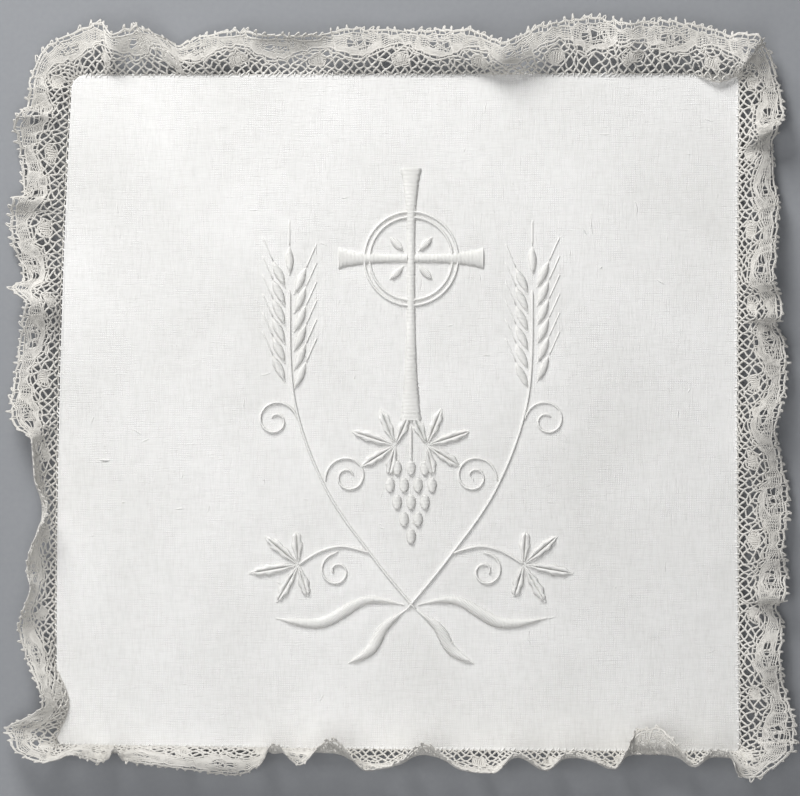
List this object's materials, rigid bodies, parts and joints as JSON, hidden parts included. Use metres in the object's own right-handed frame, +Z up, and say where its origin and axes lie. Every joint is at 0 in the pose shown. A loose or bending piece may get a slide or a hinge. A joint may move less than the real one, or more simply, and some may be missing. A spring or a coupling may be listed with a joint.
{
  "type": "chalice pall",
  "caption": "Stiffened square of white linen, embroidered in white thread and edged all round with a gathered strip of bobbin lace, laid flat to cover a chalice.",
  "frame": {"origin": "middle of the linen panel's underside, on the surface that the pall lies on", "axes": "+Z up, away from the surface; +Y towards the top of the embroidered design; +X to the right of it"},
  "size_m": [0.1771, 0.1714, 0.0106],
  "materials": {
    "linen": "bleached, starched plain-weave linen with raised white satin-stitch embroidery",
    "lace": "white cotton bobbin lace with an open mesh ground and a picot edge"
  },
  "bodies": {
    "root": {"linen_panel": "linen", "lace_frill": "lace"}
  },
  "joints": []
}
